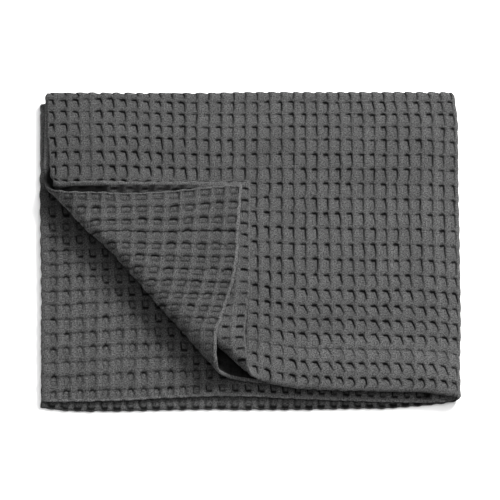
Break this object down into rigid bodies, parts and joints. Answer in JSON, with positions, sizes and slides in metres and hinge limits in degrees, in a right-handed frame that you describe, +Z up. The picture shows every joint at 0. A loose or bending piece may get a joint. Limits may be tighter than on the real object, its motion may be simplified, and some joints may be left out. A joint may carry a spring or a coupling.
{
  "type": "folded waffle weave cotton blanket",
  "caption": "Waffle weave cotton blanket with wide turned hems, folded in quarters, its front left corner turned back over the top.",
  "frame": {"origin": "centre of the folded blanket's footprint, on the surface it lies on", "axes": "+X along the crease at the back, towards the turn at the right; +Y from the open front hems to that crease; +Z up"},
  "size_m": [0.507, 0.3976, 0.0401],
  "materials": {
    "charcoal_cotton": "matt waffle weave cotton"
  },
  "bodies": {
    "root": {"blanket": "charcoal_cotton"}
  },
  "joints": []
}
